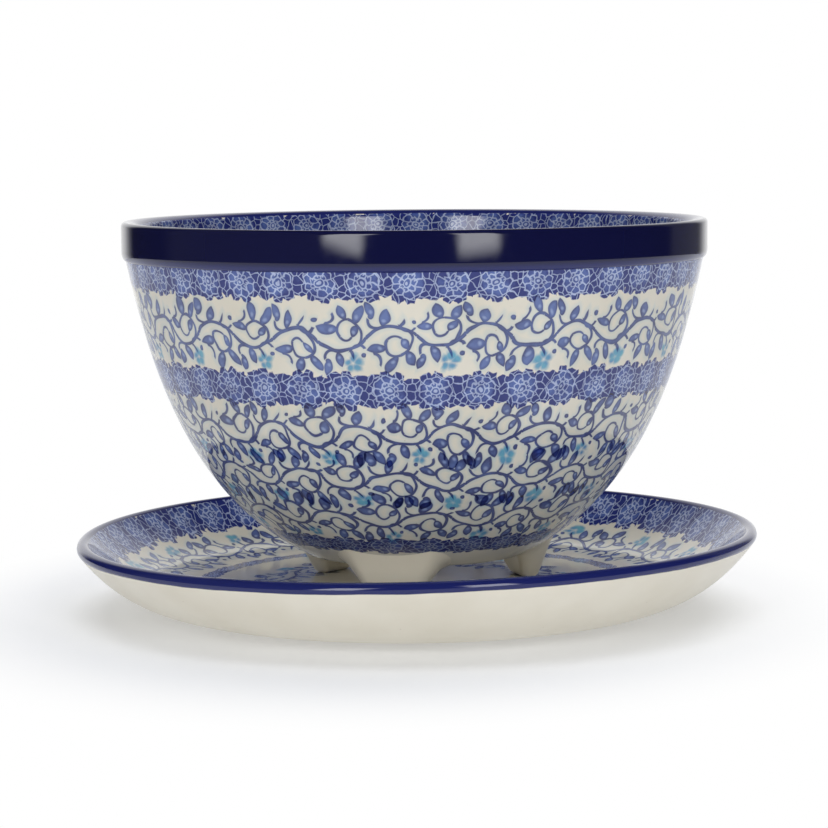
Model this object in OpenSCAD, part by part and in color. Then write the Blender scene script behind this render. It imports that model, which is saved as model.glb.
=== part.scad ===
// Berry bowl: a colander bowl on three feet that stands on its own drip saucer.
// Millimetres, +Z up. The origin lies on the table, under the middle of the saucer.

/* [Bowl] */
// Diameter across the rim collar
bowl_d = 171; // [150:1:190]
// Height from the underside of the floor to the crest of the rim
bowl_h = 97.9; // [80:0.1:130]
// Diameter of the flat underside of the floor
bowl_base_d = 64; // [60:1:76]
// Diameter of the flat part of the floor inside the bowl
bowl_floor_d = 56; // [50:1:62]
// Thickness of the floor
bowl_floor = 6; // [5:0.1:8]
// Thickness of the rim
rim_t = 5; // [4:0.1:6]
// Radius of the rim's outer edge
rim_edge = 1.3; // [0.8:0.1:1.8]
// How far the rim rounds down towards the inside
rim_drop = 2.5; // [1.5:0.1:3]

/* [Rim collar] */
// Height of the collar from its lower edge to the crest of the rim
collar_h = 11.2; // [8:0.1:16]
// How far the collar stands out from the wall
collar_out = 1.2; // [0.6:0.1:2]
// Height of the rounded ledge along the collar's lower edge
ledge_h = 2.7; // [1:0.1:4]

/* [Drain holes] */
// Diameter of one drain hole
hole_d = 5; // [4:0.1:6]
// Distance from one ring of holes to the next
hole_pitch = 11; // [9:0.1:12]
// Rings of holes round the middle one, with six more holes in each
hole_rings = 2; // [1:1:2]

/* [Feet] */
// Height of the feet below the underside of the floor
foot_h = 9.4; // [7:0.1:14]
// How far the feet climb the wall above the underside of the floor
foot_rise = 6; // [5.5:0.1:7]
// Width of a foot at its sole, before its corners are rounded
foot_w = 12; // [10:0.1:20]
// Width of a foot at its top, along the wall
foot_top_w = 36; // [26:0.1:38]
// Thickness of a foot at its sole
foot_t = 5; // [4.5:0.1:6]
// Diameter across the outer faces of the feet at their soles
feet_d = 73.6; // [70:0.1:76]
// How far a foot's outer face leans out between its sole and the floor
foot_lean = 2.5; // [1.5:0.1:2.8]
// How far a foot's inner face leans in between its sole and the floor
foot_lean_in = 3; // [0:0.1:3.5]
// Radius of the rounded edges of a sole
sole_round = 1; // [0.5:0.1:1.5]
// Radius of the rounded corners of a foot seen from the front
corner_round = 3; // [1.5:0.1:4]
// Angle by which the front foot is turned from the front, clockwise from above
feet_turn = 11; // [0:1:60]

/* [Saucer] */
// Diameter of the saucer
saucer_d = 200; // [180:1:230]
// Height of the saucer
saucer_h = 23.3; // [18:0.1:30]
// Thickness of the saucer's floor
saucer_floor = 4.8; // [4:0.1:6]
// Thickness of the rounded edge
edge_t = 3.8; // [3:0.1:5]
// Diameter of the flat middle on which the bowl stands
well_d = 104; // [96:1:112]
// Diameter of the turned foot ring, along its outer edge
ring_d = 122; // [110:1:126]
// Width of the foot ring
ring_w = 5.5; // [4:0.1:7]
// Height of the foot ring
ring_h = 2.7; // [2:0.1:4]
// Radius of the rounded edges of the foot ring
ring_round = 0.8; // [0.4:0.1:1.2]

/* [Hidden] */
$fn = 128;

// Where the profile curves pull towards, as shares of each curve's run and rise
wall_low_share = [0.557, 0.164];
wall_high_share = [0.828, 0.497];
inside_low_share = [0.12, 0];
inside_high_share = [0.74, 0.12];
under_low_share = [0.3, 0.02];
under_high_share = [0.67, 0.12];
dish_low_share = [0.56, 0];
dish_high_share = [0.7, 0.02];
// Holes that each ring has more than the ring inside it
holes_more = 6;
// Angle between two feet, and the angles at which the saucer's edge meets its curves
feet_step = 120;
edge_low = -25;
edge_high = 135;
// Straight pieces in a long curve and in a rounded edge
curve_steps = 18;
round_steps = 6;
// Overrun of every cut
over = 1;

bowl_r = bowl_d / 2;
wall_r = bowl_r - collar_out;
well_z = ring_h + saucer_floor;
base_z = well_z + foot_h;
crest_z = base_z + bowl_h;
wall_z = crest_z - collar_h;
ledge_z = wall_z + ledge_h;
rim_z = crest_z - rim_drop;
floor_z = base_z + bowl_floor;
feet_r = feet_d / 2;
foot_top = foot_h + foot_rise;
saucer_r = saucer_d / 2;
edge_round = edge_t / 2;
edge_center = [saucer_r - edge_round, saucer_h - edge_round];
ring_r = ring_d / 2;

// Point on the cubic curve through p[0] and p[3], at the share t of its length
function on_curve(p, t) =
    pow(1 - t, 3) * p[0] + 3 * pow(1 - t, 2) * t * p[1] + 3 * (1 - t) * pow(t, 2) * p[2] + pow(t, 3) * p[3];

// Curve from a to b that pulls towards two places given as shares of its run and rise
function curve(a, b, low, high) =
    let (span = b - a, p = [a, a + scaled(span, low), a + scaled(span, high), b])
    [for (i = [0:curve_steps]) on_curve(p, i / curve_steps)];
function scaled(v, share) = [v[0] * share[0], v[1] * share[1]];

// Round or oval edge about a centre, from one angle to another
function rounded(center, r, from, to) =
    [for (i = [0:round_steps])
        let (a = from + (to - from) * i / round_steps)
        center + [r[0] * cos(a), r[1] * sin(a)]];

function reversed(list) = [for (i = [len(list) - 1:-1:0]) list[i]];
function without_first(list) = [for (i = [1:len(list) - 1]) list[i]];

// Outside of the bowl, from the edge of its base up to the inner side of the rim
function bowl_outside() = concat(
    curve([bowl_base_d / 2, base_z], [wall_r, wall_z], wall_low_share, wall_high_share),
    rounded([wall_r, ledge_z], [collar_out, ledge_h], -90, 0),
    rounded([bowl_r - rim_edge, crest_z - rim_edge], [rim_edge, rim_edge], 0, 90),
    without_first(rounded([bowl_r - rim_edge, rim_z], [rim_t - rim_edge, rim_drop], 90, 180))
);

// Inside of the bowl, from the edge of its flat floor up to the rim
function bowl_inside() =
    curve([bowl_floor_d / 2, floor_z], [bowl_r - rim_t, rim_z], inside_low_share, inside_high_share);

// The bowl as if it were filled up to the rim
module bowl_form() {
    rotate_extrude() polygon(concat([[0, base_z]], bowl_outside(), [[0, rim_z]]));
}

module drain_holes() {
    for (ring = [0:hole_rings], count = max(1, ring * holes_more), i = [1:count])
        rotate([0, 0, 360 * i / count])
            translate([ring * hole_pitch, 0, base_z - over])
                cylinder(d = hole_d, h = bowl_floor + 2 * over);
}

module bowl() {
    color([0.33, 0.39, 0.63])
        difference() {
            rotate_extrude()
                polygon(concat([[0, base_z]], bowl_outside(), reversed(bowl_inside()), [[0, floor_z]]));
            drain_holes();
        }
}

// Section of the ring of which the feet are parts, with faces that lean apart
function foot_section() = concat(
    rounded([feet_r - foot_t + sole_round, well_z + sole_round], [sole_round, sole_round], 180, 270),
    rounded([feet_r - sole_round, well_z + sole_round], [sole_round, sole_round], -90, 0),
    [
        [feet_r + foot_lean * foot_top / foot_h, well_z + foot_top],
        [feet_r - foot_t - foot_lean_in * foot_top / foot_h, well_z + foot_top]
    ]
);

// Right-hand side of a foot seen from the front, rounded at the sole and flaring to the top
function foot_side() =
    let (
        flare = (foot_top_w - foot_w) / 2 / foot_top,
        lean = atan(flare),
        x = foot_w / 2 + corner_round * (flare - 1 / cos(lean))
    )
    concat(
        rounded([x, corner_round], [corner_round, corner_round], -90, -lean),
        [[foot_top_w / 2, foot_top]]
    );

module foot(turn) {
    side = foot_side();
    other_side = [for (p = reversed(side)) [-p[0], p[1]]];
    color([0.87, 0.84, 0.77])
        rotate([0, 0, turn])
            difference() {
                intersection() {
                    rotate_extrude() polygon(foot_section());
                    translate([0, 0, well_z])
                        rotate([90, 0, 0])
                            linear_extrude(height = bowl_r) polygon(concat(side, other_side));
                }
                bowl_form();
            }
}

module foot_front() { foot(-feet_turn); }
module foot_right() { foot(feet_step - feet_turn); }
module foot_left() { foot(-feet_step - feet_turn); }

module saucer() {
    under_start = [ring_r, ring_round];
    under_end = edge_center + edge_round * [cos(edge_low), sin(edge_low)];
    dish_end = edge_center + edge_round * [cos(edge_high), sin(edge_high)];
    ring_in = ring_r - ring_w;
    color([0.93, 0.91, 0.86])
        rotate_extrude()
            polygon(concat(
                [[0, ring_h], [ring_in, ring_h]],
                rounded([ring_in + ring_round, ring_round], [ring_round, ring_round], 180, 270),
                rounded([ring_r - ring_round, ring_round], [ring_round, ring_round], -90, 0),
                curve(under_start, under_end, under_low_share, under_high_share),
                rounded(edge_center, [edge_round, edge_round], edge_low, edge_high),
                reversed(curve([well_d / 2, well_z], dish_end, dish_low_share, dish_high_share)),
                [[0, well_z]]
            ));
}

bowl();
foot_front();
foot_right();
foot_left();
saucer();
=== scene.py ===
import math
import bmesh
import bpy
from mathutils import Matrix, Vector
from mathutils.geometry import delaunay_2d_cdt


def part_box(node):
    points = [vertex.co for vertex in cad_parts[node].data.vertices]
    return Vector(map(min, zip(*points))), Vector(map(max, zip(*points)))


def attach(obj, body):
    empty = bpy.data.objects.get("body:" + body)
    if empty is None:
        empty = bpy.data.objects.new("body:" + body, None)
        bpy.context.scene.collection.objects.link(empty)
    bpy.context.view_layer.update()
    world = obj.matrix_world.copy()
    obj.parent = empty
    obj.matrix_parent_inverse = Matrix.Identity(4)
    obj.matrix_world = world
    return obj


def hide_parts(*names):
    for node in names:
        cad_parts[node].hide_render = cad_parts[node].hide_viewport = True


# Berry bowl in glazed stoneware: a colander bowl on three feet, and its drip saucer.
# The pottery's dictionaries hold millimetres; the camera, the studio and the finished meshes are in metres.
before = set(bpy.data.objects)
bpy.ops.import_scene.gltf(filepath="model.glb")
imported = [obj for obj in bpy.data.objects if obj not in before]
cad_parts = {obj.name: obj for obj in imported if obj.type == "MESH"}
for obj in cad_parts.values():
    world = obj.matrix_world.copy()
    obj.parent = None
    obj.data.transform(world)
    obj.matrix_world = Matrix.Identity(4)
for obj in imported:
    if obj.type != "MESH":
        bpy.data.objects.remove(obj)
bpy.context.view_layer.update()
metre = 1000.0  # millimetres in a metre
touching = 0.001  # points that lie nearer to each other than this are one point
hair = 0.01  # to stand just clear of an edge
print("frame loaded, with nodes", ", ".join(sorted(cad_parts)))


def boxInMm(node):
    low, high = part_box(node)
    return low * metre, high * metre


def curve(start, end, low, high, steps):
    # low and high are the places that the curve pulls towards, as shares of its run and rise
    start, end = Vector(start), Vector(end)
    span = end - start
    first = start + Vector((span.x * low[0], span.y * low[1]))
    second = start + Vector((span.x * high[0], span.y * high[1]))
    points = []
    for i in range(steps + 1):
        t = i / steps
        rest = 1 - t
        points.append(start * rest**3 + first * 3 * rest**2 * t + second * 3 * rest * t**2 + end * t**3)
    return points


def rounded(center, radius, fromDegrees, toDegrees, steps):
    points = []
    for i in range(steps + 1):
        a = math.radians(fromDegrees + (toDegrees - fromDegrees) * i / steps)
        points.append(Vector((center[0] + radius[0] * math.cos(a), center[1] + radius[1] * math.sin(a))))
    return points


def joinedLine(*parts):
    line = []
    for part in parts:
        for point in part:
            point = Vector(point)
            if not line or (point - line[-1]).length > touching:
                line.append(point)
    return line


def runLengths(line):
    lengths = [0.0]
    for before, after in zip(line, line[1:]):
        lengths.append(lengths[-1] + (after - before).length)
    return lengths


def crossing(line, lengths, height, rising):
    # how far along the line it first passes a height, going up or going down
    for i in range(len(line) - 1):
        low, high = line[i].y, line[i + 1].y
        if (low <= height < high) if rising else (low >= height > high):
            return lengths[i] + (lengths[i + 1] - lengths[i]) * (height - low) / (high - low)
    raise ValueError("the line never passes that height")


def spunGrid(line, marks, segments):
    # points of a line turned round the Z axis; a line that starts or ends on the axis shares one point there
    points, values, rings = [], [], []
    for point, mark in zip(line, marks):
        count = segments if point.x > touching else 1
        ring = []
        for i in range(count):
            a = 2 * math.pi * i / segments
            ring.append(len(points))
            points.append((point.x * math.cos(a), point.x * math.sin(a), point.y))
            values.append(mark)
        rings.append(ring * segments if count == 1 else ring)
    faces = []
    for lower, upper in zip(rings, rings[1:]):
        for i in range(segments):
            j = (i + 1) % segments
            corners = [lower[i], lower[j], upper[j], upper[i]]
            faces.append([c for k, c in enumerate(corners) if c not in corners[:k]])
    return points, values, faces


def addGrid(mesh, layer, grid):
    points, values, faces = grid
    made = [mesh.verts.new(p) for p in points]
    for vert, value in zip(made, values):
        vert[layer] = value
    for face in faces:
        mesh.faces.new([made[i] for i in face])


def finishedPiece(name, mesh, sharpDegrees=40):
    # closes the mesh, turns its faces outwards and brings it from millimetres to metres
    bmesh.ops.remove_doubles(mesh, verts=mesh.verts, dist=2 * touching)
    bmesh.ops.recalc_face_normals(mesh, faces=mesh.faces)
    bmesh.ops.scale(mesh, vec=(1 / metre,) * 3, verts=mesh.verts)
    for face in mesh.faces:
        face.smooth = True
    data = bpy.data.meshes.new(name)
    mesh.to_mesh(data)
    mesh.free()
    data.set_sharp_from_angle(angle=math.radians(sharpDegrees))
    piece = bpy.data.objects.new(name, data)
    bpy.context.scene.collection.objects.link(piece)
    print(name, "has", len(data.polygons), "faces")
    return piece


# The camera stands where the photograph's stood, a little above the rim.
cameraSet = {
    "place": (-0.0005, -0.859, 0.1458),
    "pitch": 5.88,  # degrees below the horizon
    "roll": 0.45,
    "lens": 127.4,
    "sensor": 36,
    "clip": (0.05, 50),  # nearest and farthest that it sees
}
camera = bpy.data.objects.new("camera", bpy.data.cameras.new("camera"))
bpy.context.scene.collection.objects.link(camera)
aim = Matrix.Rotation(math.radians(90 - cameraSet["pitch"]), 4, "X")
roll = Matrix.Rotation(math.radians(-cameraSet["roll"]), 4, "Z")
camera.matrix_world = Matrix.Translation(cameraSet["place"]) @ aim @ roll
camera.data.lens = cameraSet["lens"]
camera.data.sensor_width = cameraSet["sensor"]
camera.data.clip_start, camera.data.clip_end = cameraSet["clip"]
bpy.context.scene.camera = camera
print("camera placed")

# Bowl
bowlLow, bowlHigh = boxInMm("bowl")
bowl = {
    "radius": (bowlHigh.x - bowlLow.x) / 2,
    "baseZ": bowlLow.z,
    "crestZ": bowlHigh.z,
    "baseRadius": 32,
    "floorRadius": 28,
    "floor": 6,
    "rim": 5,
    "rimOutside": 1.3,  # the rim rounds over tightly on the outside and slowly on the inside
    "rimInside": 2.5,
    "collar": 11.2,
    "collarOut": 1.2,
    "ledge": 2.7,
    "wallLow": (0.557, 0.164),  # where the curves of the wall pull towards
    "wallHigh": (0.828, 0.497),
    "insideLow": (0.12, 0),
    "insideHigh": (0.74, 0.12),
    "holeRadius": 2.5,
    "holeLip": 0.9,  # the glaze rounds the edges of the drilled holes
    "holeGuard": 0.3,  # flat clay that is meshed with each rounded edge
    "holePitch": 11,
    "holeRings": 2,
    "holesMore": 6,  # holes that each ring has more than the ring inside it
    "holeSides": 32,
    "floorInset": 0.5,  # flat clay that is meshed with the edge of the floor
    "segments": 288,  # faces round the bowl, and then along its curves
    "wallSteps": 72,
    "ledgeSteps": 14,
    "rimSteps": (12, 16),
    "lipSteps": 6,
}


def bowlOutside():
    wallR = bowl["radius"] - bowl["collarOut"]
    wallZ = bowl["crestZ"] - bowl["collar"]
    bottom = (bowl["baseRadius"], bowl["baseZ"])
    wall = curve(bottom, (wallR, wallZ), bowl["wallLow"], bowl["wallHigh"], bowl["wallSteps"])
    ledgeSize = (bowl["collarOut"], bowl["ledge"])
    ledge = rounded((wallR, wallZ + bowl["ledge"]), ledgeSize, -90, 0, bowl["ledgeSteps"])
    tight, slow = bowl["rimOutside"], bowl["rimInside"]
    outerSteps, innerSteps = bowl["rimSteps"]
    middle = bowl["radius"] - tight
    outer = rounded((middle, bowl["crestZ"] - tight), (tight, tight), 0, 90, outerSteps)
    inner = rounded((middle, bowl["crestZ"] - slow), (bowl["rim"] - tight, slow), 90, 180, innerSteps)
    return joinedLine(wall, ledge, outer, inner)


def bowlInside():
    # from the rim down to the edge of the flat floor
    bottom = (bowl["floorRadius"], bowl["baseZ"] + bowl["floor"])
    top = (bowl["radius"] - bowl["rim"], bowl["crestZ"] - bowl["rimInside"])
    return curve(bottom, top, bowl["insideLow"], bowl["insideHigh"], bowl["wallSteps"])[::-1]


bowlLine = joinedLine(bowlOutside(), bowlInside())
bowlRun = runLengths(bowlLine)


def ringPoints(center, radius, count):
    turns = [2 * math.pi * i / count for i in range(count)]
    return [Vector((center.x + radius * math.cos(a), center.y + radius * math.sin(a))) for a in turns]


def holeCenters():
    middle = Vector((0, 0))
    centers = [middle]
    for ring in range(1, bowl["holeRings"] + 1):
        centers += ringPoints(middle, ring * bowl["holePitch"], ring * bowl["holesMore"])
    return centers


def pierced(mesh, layer, outer, height, mark, holeEdge):
    # flat side of the floor between its edge and the holes
    loops = [ringPoints(Vector((0, 0)), outer, bowl["segments"])]
    loops += [ringPoints(center, holeEdge, bowl["holeSides"]) for center in holeCenters()]
    points, edges = [], []
    for loop in loops:
        first = len(points)
        points += loop
        edges += [(first + i, first + (i + 1) % len(loop)) for i in range(len(loop))]
    flat, _, faces, _, _, _ = delaunay_2d_cdt(points, edges, [], 1, 1e-5)
    made = []
    for p in flat:
        vert = mesh.verts.new((p.x, p.y, height))
        vert[layer] = mark
        made.append(vert)
    inHole = holeEdge * 0.99  # the faces whose middle is nearer to a hole's middle than this cover the hole
    for face in faces:
        middle = sum((flat[i] for i in face), Vector((0, 0))) / len(face)
        if all((middle - center).length > inHole for center in holeCenters()):
            mesh.faces.new([made[i] for i in face])


def makeBowl():
    mesh = bmesh.new()
    layer = mesh.verts.layers.float.new("profileMm")
    addGrid(mesh, layer, spunGrid(bowlLine, bowlRun, bowl["segments"]))
    baseZ, floorZ = bowl["baseZ"], bowl["baseZ"] + bowl["floor"]
    lip, hole = bowl["holeLip"], bowl["holeRadius"]
    holeEdge = hole + lip + bowl["holeGuard"]
    for radius, height, mark in (
        (bowl["baseRadius"], baseZ, 0.0),
        (bowl["floorRadius"], floorZ, bowlRun[-1]),
    ):
        inner = radius - bowl["floorInset"]
        edge = [Vector((radius, height)), Vector((inner, height))]
        addGrid(mesh, layer, spunGrid(edge, [mark, mark], bowl["segments"]))
        pierced(mesh, layer, inner, height, mark, holeEdge)
    upper = rounded((hole + lip, floorZ - lip), (lip, lip), 90, 180, bowl["lipSteps"])
    lower = rounded((hole + lip, baseZ + lip), (lip, lip), 180, 270, bowl["lipSteps"])
    side = joinedLine([(holeEdge, floorZ)], upper, lower, [(holeEdge, baseZ)])
    for center in holeCenters():
        points, values, faces = spunGrid(side, [bowlRun[-1]] * len(side), bowl["holeSides"])
        points = [(x + center.x, y + center.y, z) for x, y, z in points]
        addGrid(mesh, layer, (points, values, faces))
    return finishedPiece("bowlShell", mesh)


# Feet
foot = {
    "soleZ": boxInMm("foot_front")[0].z,
    "rise": 15.4,  # from the sole to where the flare ends on the wall
    "toFloor": 9.4,
    "faceRadius": 36.8,  # outer face at the sole
    "thickness": 5,
    "lean": 2.5,
    "leanIn": 3,
    "soleWidth": 12,
    "topWidth": 36,
    "cornerRound": 3,  # corners of the sole seen from the front
    "corner": 0.9,  # the upright edges are sponged round, by this share of half the thickness
    "soleEdge": 1.2,
    "fillet": 2.6,  # slip drawn into the joint under the bowl
    "faceFillet": (1.2, 4.0),  # how far it comes out on the outer face, and from how far below
    "sink": 0.25,  # how deep the joint goes into the bowl's clay
    "wiped": (0.35, 0.15),  # the glaze ends and the clay is bare below these heights of the sole
    "turn": 11,  # degrees, clockwise from above
    "cornerSteps": 6,
    "evenLevels": 12,  # rings of points up to evenShare of the height, and closer ones above it
    "evenShare": 0.72,
    "closeLevels": 14,
}


def undersideHeight(radius):
    # height of the bowl's underside over the table at a radius
    if radius <= bowl["baseRadius"]:
        return bowl["baseZ"]
    for low, high in zip(bowlLine, bowlLine[1:]):
        if low.x <= radius < high.x:
            return low.y + (high.y - low.y) * (radius - low.x) / (high.x - low.x)
    return bowl["crestZ"]


def footOutline():
    # corners of the foot as (side, face, angle), counterclockwise from the right-hand outer corner
    outline = []
    steps = foot["cornerSteps"]
    for side, face, start in ((1, 1, 0), (-1, 1, 90), (-1, -1, 180), (1, -1, 270)):
        for i in range(steps + 1):
            outline.append((side, face, math.radians(start + 90 * i / steps)))
    return outline


def footHalfWidth(height):
    # the foot seen from the front: a sole with round corners, and sides that flare
    flare = (foot["topWidth"] - foot["soleWidth"]) / 2 / foot["rise"]
    lean = math.atan(flare)
    corner = foot["cornerRound"]
    if height > corner * (1 - math.sin(lean)):
        return foot["soleWidth"] / 2 + flare * height
    middle = foot["soleWidth"] / 2 + corner * (flare - 1 / math.cos(lean))
    return middle + math.sqrt(corner**2 - (corner - height) ** 2)


def footPoint(place, share, height=None):
    # a point of the foot at a share of the way up from the sole to the bowl
    side, face, turned = place
    z = foot["soleZ"] + foot["toFloor"] * share if height is None else height
    out = max(0.0, math.sin(turned))
    grow = 0.0
    for _ in range(8):  # the height depends on the radius and the radius on the height, until they settle
        rise = (z - foot["soleZ"]) / foot["toFloor"]
        outerR = foot["faceRadius"] + foot["lean"] * rise
        innerR = foot["faceRadius"] - foot["thickness"] - foot["leanIn"] * rise
        halfWidth = footHalfWidth(z - foot["soleZ"])
        middle, half = (innerR + outerR) / 2, (outerR - innerR) / 2
        corner = half * foot["corner"]
        x = side * (halfWidth - corner) + (corner + grow) * math.cos(turned)
        radius = middle + face * (half - corner) + (corner + grow) * math.sin(turned)
        roof = undersideHeight(radius) + foot["sink"]
        if height is None:
            z = foot["soleZ"] + (roof - foot["soleZ"]) * share
            left = (1 - share) * (roof - foot["soleZ"])
            reach, start = foot["faceFillet"]
            soft = reach * max(0.0, 1 - left / start) ** 2
            fillet = foot["fillet"]
            tight = fillet - math.sqrt(fillet**2 - max(0.0, fillet - left) ** 2)
            grow = out * soft + (1 - out) * tight
    return x, radius, z


def footLevels():
    # rings of points from the sole up, as (share of the way up, how far the sole draws in, height)
    edge, steps = foot["soleEdge"], foot["cornerSteps"]
    levels = []
    for i in range(steps):
        a = math.radians(90 * i / steps)
        levels.append((0.0, edge * (1 - math.sin(a)), foot["soleZ"] + edge * (1 - math.cos(a))))
    even, close, part = foot["evenLevels"], foot["closeLevels"], foot["evenShare"]
    shares = [i / even * part for i in range(even + 1)]
    shares += [part + (1 - part) * (1 - (1 - i / close) ** 2) for i in range(1, close + 1)]
    overSole = edge / foot["toFloor"] * 1.05  # the first even ring lies a little over the rounded sole
    return levels + [(share, 0.0, None) for share in shares if share > overSole]


def makeFoot(name, turn):
    mesh = bmesh.new()
    outline = footOutline()
    turned = Matrix.Rotation(math.radians(turn), 3, "Z")
    rings = []
    for share, inset, height in footLevels():
        ring = []
        for corner in outline:
            x, radius, z = footPoint(corner, share, height)
            radius -= inset * math.sin(corner[2])
            ring.append(mesh.verts.new(turned @ Vector((x, -math.sqrt(radius**2 - x**2), z))))
        rings.append(ring)
    for lower, upper in zip(rings, rings[1:]):
        for i in range(len(outline)):
            j = (i + 1) % len(outline)
            mesh.faces.new((lower[i], lower[j], upper[j], upper[i]))
    mesh.faces.new(rings[0][::-1])
    mesh.faces.new(rings[-1])
    return finishedPiece(name, mesh)


# Saucer
saucerLow, saucerHigh = boxInMm("saucer")
saucer = {
    "radius": (saucerHigh.x - saucerLow.x) / 2,
    "height": saucerHigh.z,
    "floor": 4.8,
    "edge": 3.8,
    "edgeTurn": (-25, 135),  # degrees at which the rounded edge meets the underside and the dish
    "wellRadius": 52,
    "ringRadius": 61,
    "ringWidth": 5.5,
    "ringHeight": 2.7,
    "ringRound": 0.8,
    "recessInset": 1,  # flat clay that is meshed with the foot ring
    "underLow": (0.3, 0.02),  # where the curves of the underside and the dish pull towards
    "underHigh": (0.67, 0.12),
    "dishLow": (0.56, 0),
    "dishHigh": (0.7, 0.02),
    "warp": (1.38, 0.44),  # how far the right and the back of the edge rose in the kiln
    "twist": (-0.26, -0.37),  # and how far it rose and sank twice on its way round
    "warpPower": 1.5,  # the warp grows outwards, faster towards the edge
    "segments": 288,  # faces round the saucer, and then along its curves
    "underSteps": 40,
    "edgeSteps": 24,
    "dishSteps": 48,
    "ringSteps": 5,
    "wellRings": (40, 26, 12, 0),
}


def saucerProfile():
    # from the middle of the underside out to the edge and back to the middle of the dish
    half = saucer["edge"] / 2
    center = (saucer["radius"] - half, saucer["height"] - half)
    ringR, ringIn = saucer["ringRadius"], saucer["ringRadius"] - saucer["ringWidth"]
    small, ringZ, steps = saucer["ringRound"], saucer["ringHeight"], saucer["ringSteps"]
    well = (saucer["wellRadius"], ringZ + saucer["floor"])
    edge = rounded(center, (half, half), *saucer["edgeTurn"], saucer["edgeSteps"])
    return joinedLine(
        [(0, ringZ), (ringIn - saucer["recessInset"], ringZ), (ringIn, ringZ)],
        rounded((ringIn + small, small), (small, small), 180, 270, steps),
        rounded((ringR - small, small), (small, small), -90, 0, steps),
        curve((ringR, small), edge[0], saucer["underLow"], saucer["underHigh"], saucer["underSteps"]),
        edge,
        curve(well, edge[-1], saucer["dishLow"], saucer["dishHigh"], saucer["dishSteps"])[::-1],
        [(radius, well[1]) for radius in saucer["wellRings"]],
    )


saucerLine = saucerProfile()
saucerRun = runLengths(saucerLine)


def makeSaucer():
    mesh = bmesh.new()
    layer = mesh.verts.layers.float.new("profileMm")
    addGrid(mesh, layer, spunGrid(saucerLine, saucerRun, saucer["segments"]))
    start = saucer["ringRadius"]
    (right, back), (twistRight, twistBack) = saucer["warp"], saucer["twist"]
    for vert in mesh.verts:
        radius = math.hypot(vert.co.x, vert.co.y)
        if radius > start:
            share = (radius - start) / (saucer["radius"] - start)
            a = math.atan2(vert.co.y, vert.co.x)
            once = right * math.cos(a) + back * math.sin(a)
            twice = twistRight * math.cos(2 * a) + twistBack * math.sin(2 * a)
            vert.co.z += (once + twice) * share ** saucer["warpPower"]
    return finishedPiece("dripSaucer", mesh)


# Materials
patternRow = 100.0  # a pattern is set by how many of its patches lie in a row of 100 mm
noiseReach = 0.25  # how far a noise texture mostly strays from its middle value
noiseMiddle = (0.5, 0.5, 0.5)
smooth = {"interpolation_type": "SMOOTHSTEP"}  # for a range that eases in and out
paint = {"data_type": "RGBA"}  # for a mix of colours that covers what lies under it
stain = {"data_type": "RGBA", "blend_type": "MULTIPLY"}  # for one that lets it shine through
glaze = {
    "cream": "E6E1D3",
    "creamDark": "DED8C8",
    # painted light: a lighter, warmer cream for the feet, offsetting the shade and the dish's blue bounce
    # under the bowl
    "feetLitCream": "F6EACE",
    "speck": "A08B70",
    "bareClay": "C2AC92",
    "cobalt": "11133C",
    "cobaltThin": "1D2462",
    "cobaltEdge": "1C2360",
    "ink": "5D71AE",
    "inkDeep": "2A3270",
    "inkHalo": "C9D4E8",
    "inkThin": "A2AFD4",
    "turquoise": "66AEC4",
    "turquoiseDeep": "4A82B6",
    "lace": "5A70B3",
    "laceDeep": "2A347A",
    "laceDark": "141A54",
    "lacePale": "BDCAE6",
    "ior": 1.52,  # a fired lead-free glaze
    "gloss": (0.055, 0.095),  # roughness of the glaze, which is smoother in some patches than in others
    "footGloss": (0.28, 0.34),
    "softGloss": 0.3,  # where the glaze lies thin, under the saucer
    "bareGloss": 0.85,
    "wave": 16.0,  # millimetres from one soft wave of the glaze to the next
    "waveHeight": 0.06,
    # patches in a row of 100 mm, and the levels of the noise between which they change
    "tones": (5, 0.35, 0.7),
    "glossPatches": (40, 0.3, 0.7),
    "dabs": (22, 0.35, 0.68),
    "slips": 7,
    "sandGrains": 250,
    "specks": (17, 0.05, 0.02, 0.4),  # and their outer and inner radius in a patch, and strength
    "feetLitShare": 0.5,  # how much of the feet's colour is the lighter, warmer cream, painted in to offset the shade and blue bounce under the bowl
    "wipedEdge": 0.15,  # softness of the edge of bare clay, of the softer gloss and of painted cobalt
    "glossEdge": 0.5,
    "bandEdge": 0.12,
    "bandWaver": 0.8,  # how far the edges of a painted cobalt band waver
    "bandThinLow": (2.6, 1.4),  # between these distances from its ends the cobalt of a band gets thin
    "bandThinHigh": (4.0, 1.5),
}


def fromHex(text):
    # sRGB hex to the linear colour that Blender's sockets hold
    linear = []
    for i in (0, 2, 4):
        c = int(text[i:i + 2], 16) / 255
        linear.append(c / 12.92 if c < 0.04045 else ((c + 0.055) / 1.055) ** 2.4)
    return (*linear, 1.0)


def hue(name):
    return fromHex(glaze[name])


def filtered(name):
    # what a layer of this ink lets through when it lies on the cream
    ink, cream = hue(name), hue("cream")
    return (*(min(1.0, ink[i] / cream[i]) for i in range(3)), 1.0)


def addNode(tree, kind, links=(), operation=None, **settings):
    # links maps sockets to other nodes' outputs, to nodes (their first output in use) or to plain values
    node = tree.nodes.new("ShaderNode" + kind)
    if operation:
        node.operation = operation
    for name, value in settings.items():
        setattr(node, name, value)
    for socket, value in dict(links).items():
        if isinstance(value, bpy.types.Node):
            value = next(output for output in value.outputs if output.enabled)
        if isinstance(value, bpy.types.NodeSocket):
            tree.links.new(value, node.inputs[socket])
        else:
            node.inputs[socket].default_value = value
    return node


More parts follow.
